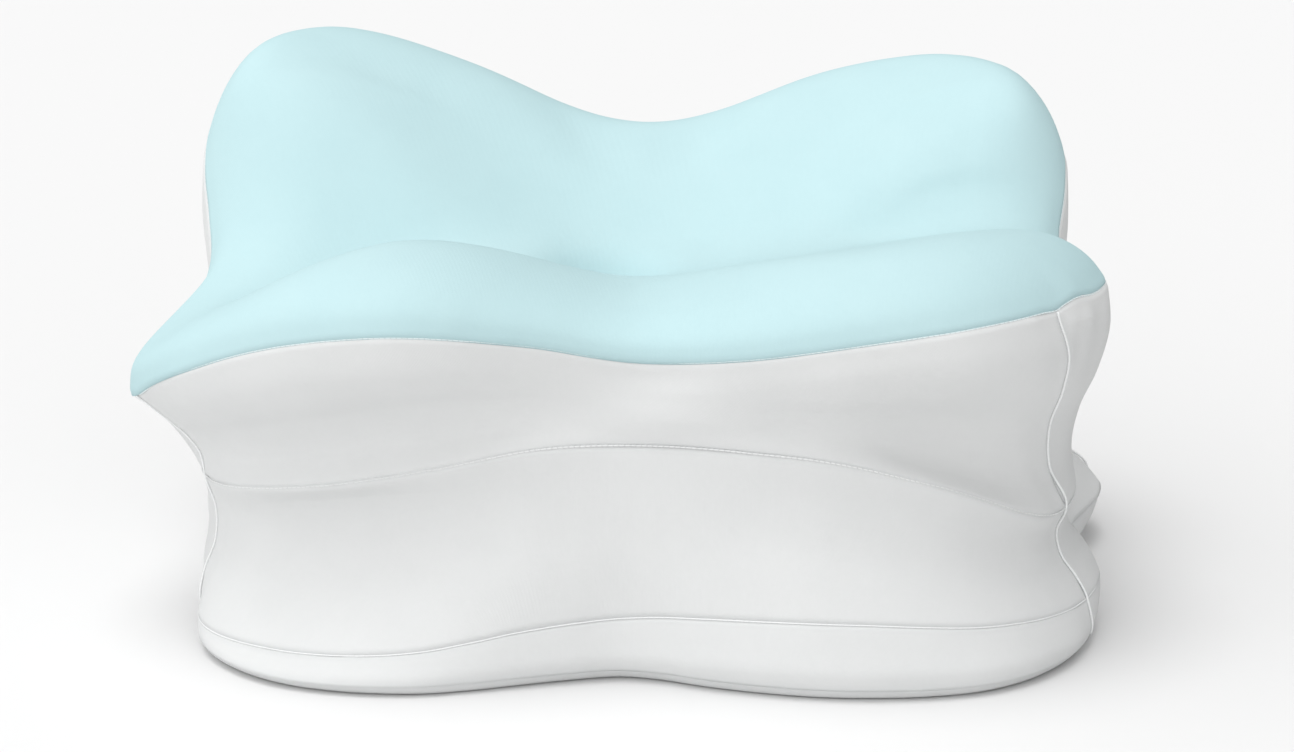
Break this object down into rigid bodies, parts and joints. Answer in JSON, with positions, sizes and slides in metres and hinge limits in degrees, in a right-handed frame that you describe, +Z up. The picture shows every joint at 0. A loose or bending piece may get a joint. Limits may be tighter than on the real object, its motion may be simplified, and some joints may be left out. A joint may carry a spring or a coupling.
{
  "type": "contour pillow",
  "caption": "Thick contour pillow with raised corner lobes, a head cradle and a drawn-in waist, in a knit cover with a pale aqua top and white banded sides.",
  "frame": {"origin": "On the surface that the pillow stands on, under the middle of its bounding box.", "axes": "+Z up, +X to the right over the wing tips when seen from the front, +Y from the front edge to the higher back edge."},
  "size_m": [0.4454, 0.3068, 0.2369],
  "materials": {
    "filling": "plain foam filling under the cover",
    "top_cloth": "pale aqua fine knit, matte with a faint sheen",
    "side_cloth": "off-white fine knit, matte"
  },
  "bodies": {
    "root": {"pillow_body": "filling", "top_panel": "top_cloth", "upper_front": "side_cloth", "upper_right": "side_cloth", "upper_back": "side_cloth", "upper_left": "side_cloth", "lower_front": "side_cloth", "lower_right": "side_cloth", "lower_back": "side_cloth", "lower_left": "side_cloth", "border_front": "side_cloth", "border_right": "side_cloth", "border_back": "side_cloth", "border_left": "side_cloth", "base_panel": "side_cloth"}
  },
  "joints": []
}
